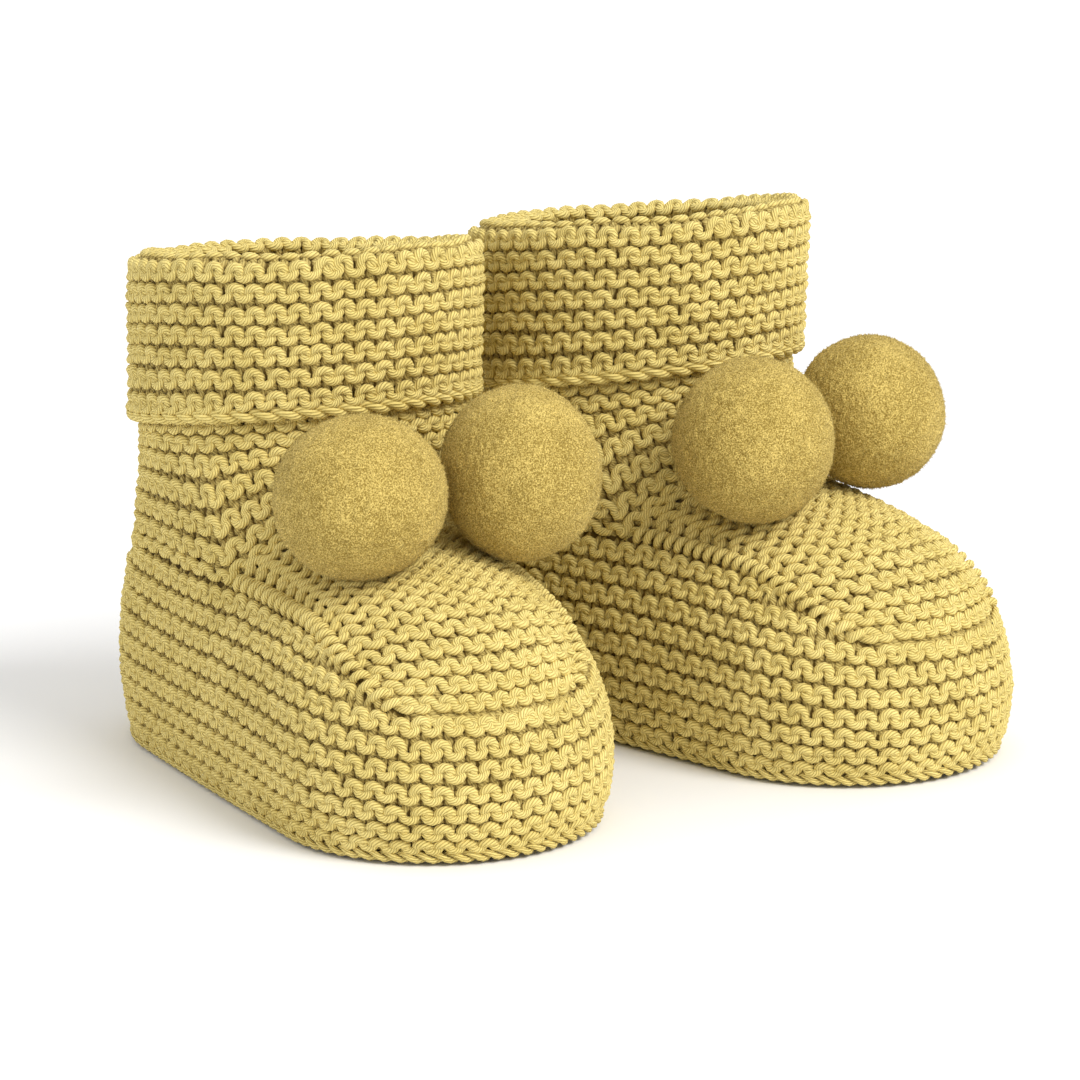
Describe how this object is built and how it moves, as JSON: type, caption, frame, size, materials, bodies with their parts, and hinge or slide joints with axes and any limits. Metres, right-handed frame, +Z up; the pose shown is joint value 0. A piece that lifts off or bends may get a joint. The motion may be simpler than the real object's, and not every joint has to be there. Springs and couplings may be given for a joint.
{
  "type": "baby bootie",
  "caption": "Soft baby booties knitted in garter stitch, each with a turned-down cuff and pompoms in front of the ankle.",
  "frame": {"origin": "the middle of the footprint of both booties, on the surface they stand on", "axes": "+Z up; -Y the way the toes point; +X from the left bootie to the right one"},
  "size_m": [0.1142, 0.1014, 0.0752],
  "materials": {
    "knit": "matt plied cotton and wool yarn in garter stitch",
    "sewing_yarn": "matt sewing yarn of the same shade",
    "pompom": "short dense trimmed pile"
  },
  "bodies": {
    "left_bootie": {"left_sole": "knit", "left_foot_band": "knit", "left_instep": "knit", "left_leg": "knit", "left_cuff": "knit", "left_cast_off_edge": "knit", "left_sole_seam": "sewing_yarn", "left_instep_seam": "sewing_yarn", "left_back_seam": "sewing_yarn"},
    "right_bootie": {"right_sole": "knit", "right_foot_band": "knit", "right_instep": "knit", "right_leg": "knit", "right_cuff": "knit", "right_cast_off_edge": "knit", "right_sole_seam": "sewing_yarn", "right_instep_seam": "sewing_yarn", "right_back_seam": "sewing_yarn"},
    "left_outer_pompom_tie": {"left_outer_pompom_tie": "sewing_yarn"},
    "left_outer_pompom": {"left_outer_pompom": "pompom", "left_outer_pompom_stem": "sewing_yarn"},
    "left_inner_pompom_tie": {"left_inner_pompom_tie": "sewing_yarn"},
    "left_inner_pompom": {"left_inner_pompom": "pompom", "left_inner_pompom_stem": "sewing_yarn"},
    "right_outer_pompom_tie": {"right_outer_pompom_tie": "sewing_yarn"},
    "right_outer_pompom": {"right_outer_pompom": "pompom", "right_outer_pompom_stem": "sewing_yarn"},
    "right_inner_pompom_tie": {"right_inner_pompom_tie": "sewing_yarn"},
    "right_inner_pompom": {"right_inner_pompom": "pompom", "right_inner_pompom_stem": "sewing_yarn"}
  },
  "joints": [
    {"name": "right_bootie_lift", "type": "slide", "parent": "left_bootie", "child": "right_bootie", "axis": [0, 0, 1], "range_m": [0, 0.12]},
    {"name": "left_outer_pompom_sway", "type": "hinge", "parent": "left_bootie", "child": "left_outer_pompom_tie", "pos_m": [-0.03488, -0.00855, 0.0405], "axis": [0, 0, -1], "range_deg": [0, 20]},
    {"name": "left_outer_pompom_lift", "type": "hinge", "parent": "left_outer_pompom_tie", "child": "left_outer_pompom", "pos_m": [-0.03488, -0.00855, 0.0405], "axis": [-0.9925, 0.1219, 0], "range_deg": [0, 9]},
    {"name": "left_inner_pompom_sway", "type": "hinge", "parent": "left_bootie", "child": "left_inner_pompom_tie", "pos_m": [-0.02773, -0.00942, 0.0405], "axis": [0, 0, 1], "range_deg": [0, 20]},
    {"name": "left_inner_pompom_lift", "type": "hinge", "parent": "left_inner_pompom_tie", "child": "left_inner_pompom", "pos_m": [-0.02773, -0.00942, 0.0405], "axis": [-0.9925, 0.1219, 0], "range_deg": [0, 9]},
    {"name": "right_outer_pompom_sway", "type": "hinge", "parent": "right_bootie", "child": "right_outer_pompom_tie", "pos_m": [0.03414, -0.00982, 0.0405], "axis": [0, 0, 1], "range_deg": [0, 20]},
    {"name": "right_outer_pompom_lift", "type": "hinge", "parent": "right_outer_pompom_tie", "child": "right_outer_pompom", "pos_m": [0.03414, -0.00982, 0.0405], "axis": [-0.9863, -0.165, 0], "range_deg": [0, 9]},
    {"name": "right_inner_pompom_sway", "type": "hinge", "parent": "right_bootie", "child": "right_inner_pompom_tie", "pos_m": [0.02704, -0.01101, 0.0405], "axis": [0, 0, -1], "range_deg": [0, 20]},
    {"name": "right_inner_pompom_lift", "type": "hinge", "parent": "right_inner_pompom_tie", "child": "right_inner_pompom", "pos_m": [0.02704, -0.01101, 0.0405], "axis": [-0.9863, -0.165, 0], "range_deg": [0, 9]}
  ]
}
